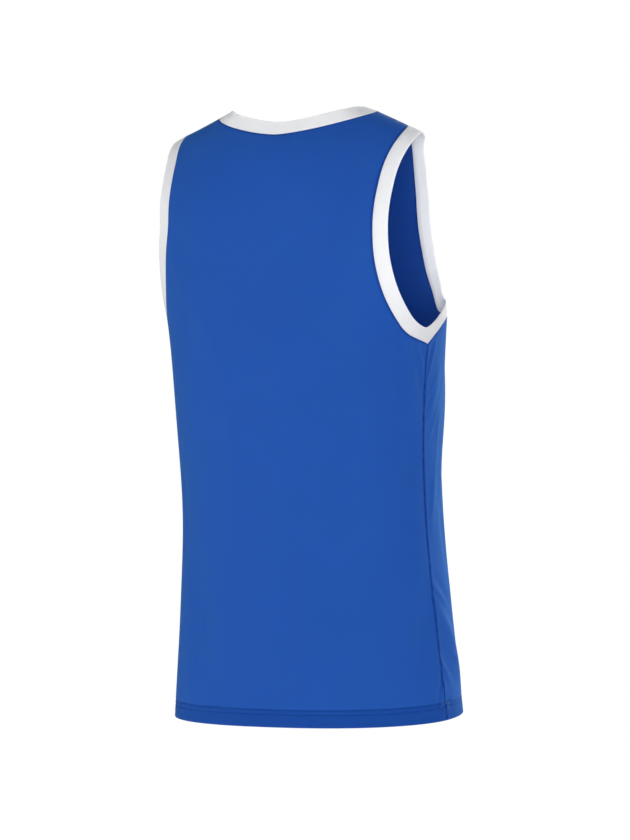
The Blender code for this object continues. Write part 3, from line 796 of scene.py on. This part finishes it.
def stitch_relief(tree, across, along, wale, course):
    """The height of plain knitting, from 0 to 1: columns of V-shaped loops."""
    column = maths(tree, "DIVIDE", across, wale)
    from_middle = maths(tree, "ABSOLUTE", maths(tree, "SUBTRACT", maths(tree, "FRACT", column), 0.5))
    leg = maths(tree, "ABSOLUTE", maths(tree, "SINE", maths(tree, "MULTIPLY", column, 2 * math.pi)))
    row = maths(tree, "ADD", maths(tree, "DIVIDE", along, course), from_middle)
    loop = maths(tree, "SINE", maths(tree, "MULTIPLY", row, 2 * math.pi))
    return maths(tree, "MULTIPLY", leg, maths(tree, "MULTIPLY_ADD", loop, LOOP_HEIGHT, 0.5))


def rib_relief(tree, across, along, wale, course):
    """The height of rib knitting, from 0 to 1: rounded ribs across the band, each a column of loops."""
    column = maths(tree, "MULTIPLY", across, 2 * math.pi / wale)
    ribs = maths(tree, "MULTIPLY_ADD", maths(tree, "SINE", column), 0.5, 0.5)
    loops = maths(tree, "SINE", maths(tree, "MULTIPLY", along, 2 * math.pi / course))
    return maths(tree, "ADD", ribs, maths(tree, "MULTIPLY", loops, RIB_LOOP_HEIGHT))


# low and high are the colour in the hollows between the stitches, darker there as painted shade, and on the
# stitches; they are also the ends of the cloth's own faint patches. The colour left under full painted
# shade is dim. through is how far, in metres, light wanders in the cloth, which is thin enough for some of
# it to come out at the other side. A column of loops is wale wide, and a row of them course high. The
# relief's depth is bump.
Finish = namedtuple(
    "Finish", "low high dim roughness specular sheen sheen_roughness tint through relief wale course bump"
)
BLUE_FINISH = Finish(
    low=(0.0150, 0.079, 0.352),
    high=(0.0180, 0.091, 0.388),
    # colour left under full painted shade: at the seams, the turned-up edge and the stitches
    dim=(0.36, 0.52, 0.68),
    roughness=0.46,
    specular=0.03,
    sheen=0.04,
    sheen_roughness=0.40,
    tint=(0.10, 0.90, 0.60),
    through=0.0025,
    relief=stitch_relief,
    wale=0.0009,
    course=0.0007,
    bump=0.00006,
)
WHITE_FINISH = Finish(
    low=(0.665, 0.675, 0.690),
    high=(0.705, 0.715, 0.725),
    # colour left under full painted shade, where the allowance lies behind a band's inner layer
    dim=(0.92, 0.925, 0.935),
    roughness=0.75,
    specular=0.20,
    sheen=0.05,
    sheen_roughness=0.50,
    tint=(1.0, 1.0, 1.0),
    through=0.0085,
    relief=rib_relief,
    wale=0.0012,
    course=0.0009,
    bump=0.00010,
)


def new_material(name, values):
    """A material with these values on its shader's own sockets."""
    material = bpy.data.materials.new(name)
    material.use_nodes = True
    shader = material.node_tree.nodes["Principled BSDF"]
    for socket, value in values.items():
        shader.inputs[socket].default_value = value
    return material


def knitted(name, finish):
    """Knitted cloth: its stitches in relief, painted shade in the hollows between them, faint patches of
    its own tone, and the painted shade that each point of the mesh carries.
    """
    material = new_material(name, {
        "Roughness": finish.roughness,
        "Specular IOR Level": finish.specular,
        "Specular Tint": (*finish.tint, 1.0),
        "Sheen Weight": finish.sheen,
        "Sheen Roughness": finish.sheen_roughness,
        "Sheen Tint": (*finish.tint, 1.0),
        "Subsurface Weight": 1.0,
        "Subsurface Radius": (1.0, 1.0, 1.0),
        "Subsurface Scale": finish.through,
    })
    tree = material.node_tree
    shader = tree.nodes["Principled BSDF"]
    place, across, along = cloth_place(tree)
    height = finish.relief(tree, across, along, finish.wale, finish.course)
    noise = {"Vector": place, "Scale": 1 / PATCH_SIZE, "Detail": PATCH_DETAIL}
    patches = maths(tree, "MULTIPLY", plugged(tree, "ShaderNodeTexNoise", noise), CONTRAST)
    # Painted shade: the colour is darker where the relief is low, between the stitches; the patches are the
    # cloth's own tone.
    stitch_shade_and_patches = maths(tree, "ADD", maths(tree, "MULTIPLY", height, CONTRAST), patches)
    colour = mixed(tree, stitch_shade_and_patches, (*finish.low, 1.0), (*finish.high, 1.0))
    # Painted shade carried by each point of the mesh darkens the colour towards the shade colour.
    painted_shade = plugged(tree, "ShaderNodeAttribute", {}, output="Fac", attribute_name="painted_shade")
    colour = mixed(tree, painted_shade, colour, (*finish.dim, 1.0), "MULTIPLY")
    tree.links.new(colour, shader.inputs["Base Color"])
    relief = {"Height": height, "Distance": finish.bump, "Strength": BUMP_STRENGTH}
    tree.links.new(plugged(tree, "ShaderNodeBump", relief), shader.inputs["Normal"])
    return material


# ---------------------------------------------------------------- the studio
AIM = Vector((0.0, 0.0, -0.3675))
CAMERA_TURN = math.radians(33.5)            # from straight behind towards the wearer's right
CAMERA_DISTANCE = 7.2
CAMERA_SHIFT = 0.016                        # of the aim, towards the picture's right
PIXELS_PER_METRE = 805.0                    # at the origin
PICTURE_HEIGHT = 840.0                      # in pixels
SENSOR = 36.0
VIEW_DEPTH = 60.0
FLOOR = -1.2
FLOOR_RADIUS = 4.0
FLOOR_STEPS = 96


def aimed(item, place, target):
    item.location = place
    item.rotation_mode = "QUATERNION"
    item.rotation_quaternion = (target - place).to_track_quat("-Z", "Y")
    bpy.context.scene.collection.objects.link(item)
    return item


def camera():
    lens = bpy.data.cameras.new("camera")
    lens.sensor_width = SENSOR
    lens.lens = PIXELS_PER_METRE * CAMERA_DISTANCE * SENSOR / PICTURE_HEIGHT
    lens.clip_end = VIEW_DEPTH
    towards = Vector((-math.sin(CAMERA_TURN), math.cos(CAMERA_TURN), 0))
    right = Vector((-math.cos(CAMERA_TURN), -math.sin(CAMERA_TURN), 0))
    target = AIM + right * CAMERA_SHIFT
    eye = aimed(bpy.data.objects.new("camera", lens), target + towards * CAMERA_DISTANCE, target)
    bpy.context.scene.camera = eye


# The lamps are soft and square. turn is how far round from straight behind towards the wearer's right, in
# degrees, and rise how far above the aim. A lamp's light falls off with distance, so strength is what it
# gives a surface at the origin that faces it, where 1 shows white cloth as white.
Lamp = namedtuple("Lamp", "turn rise strength")
LAMPS = (
    Lamp(-60, 5, 0.11),
    Lamp(-15, 5, 0.24),
    Lamp(33, 5, 0.68),
    Lamp(110, 5, 0.17),
    Lamp(150, 5, 0.08),
    Lamp(180, 30, 1.00),
)
SKY = 0.19               # what the studio's walls give, on the same scale
WHITE, PALE, BLACK = (1.0, 1.0, 1.0, 1.0), (0.88, 0.88, 0.88, 1.0), (0.0, 0.0, 0.0, 1.0)
LAMP_DISTANCE = 4.0
LAMP_SIZE = 2.4
ROOM_RADIUS = 25.0
ROOM_STEPS = (48, 24)    # round it, and from its bottom to its top


def lamp(number, turn, rise, strength):
    light = bpy.data.lights.new(f"lamp_{number}", "AREA")
    light.size = LAMP_SIZE
    light.energy = strength * (math.pi * LAMP_DISTANCE) ** 2
    angle, up = math.radians(turn), math.radians(rise)
    direction = Vector((-math.sin(angle) * math.cos(up), math.cos(angle) * math.cos(up), math.sin(up)))
    aimed(bpy.data.objects.new(light.name, light), AIM + direction * LAMP_DISTANCE, AIM)


def stage_piece(name, points, faces, material):
    mesh = bpy.data.meshes.new(name)
    mesh.from_pydata(points, [], faces)
    mesh.materials.append(material)
    piece = bpy.data.objects.new(name, mesh)
    bpy.context.scene.collection.objects.link(piece)
    return piece


def studio():
    """A pale floor, and a white room that only the camera sees and that lights nothing itself."""
    world = bpy.data.worlds.new("studio")
    world.use_nodes = True
    sky = world.node_tree.nodes["Background"]
    sky.inputs["Color"].default_value = WHITE
    sky.inputs["Strength"].default_value = SKY
    bpy.context.scene.world = world
    bpy.context.scene.view_settings.view_transform = "Standard"

    pale = new_material("pale_floor", {"Base Color": PALE, "Roughness": 0.9})
    turns = np.linspace(0, 2 * math.pi, FLOOR_STEPS, endpoint=False)
    rim = [(FLOOR_RADIUS * math.cos(turn), FLOOR_RADIUS * math.sin(turn), FLOOR) for turn in turns]
    stage_piece("floor", rim, [list(range(len(rim)))], pale)

    shining = {"Base Color": BLACK, "Emission Color": WHITE, "Emission Strength": 1.0}
    glow = new_material("white_room", shining)
    glow.cycles.emission_sampling = "NONE"
    ball = bmesh.new()
    round_steps, up_steps = ROOM_STEPS
    bmesh.ops.create_uvsphere(ball, u_segments=round_steps, v_segments=up_steps, radius=ROOM_RADIUS)
    points, faces = [v.co[:] for v in ball.verts], [[v.index for v in face.verts] for face in ball.faces]
    ball.free()
    room = stage_piece("room", points, faces, glow)
    room.visible_diffuse = False
    room.visible_glossy = False
    room.visible_transmission = False
    room.visible_shadow = False

    for number, row in enumerate(LAMPS):
        lamp(number, *row)


def main():
    blue = knitted("blue_knit", BLUE_FINISH)
    white = knitted("white_rib", WHITE_FINISH)
    for facing, word in ((BACK, "back"), (FRONT, "front")):
        rows = [
            hem_row(f"hem_stitches_{word}_{number}", facing, row, blue)
            for number, row in enumerate(STITCH_ROWS, start=1)
        ]
        panel(f"{word}_cloth", facing, blue)
    bands = (
        ("neck_band", neck_stretches(), risen, NECK_CORNER),
        ("armhole_band_left", armhole_stretches(LEFT), eased, ARMHOLE_CORNER),
        ("armhole_band_right", armhole_stretches(RIGHT), eased, ARMHOLE_CORNER),
    )
    for node, stretches, easing, corner in bands:
        piece = band(node, stretches, white, easing, corner)


camera()
studio()
main()
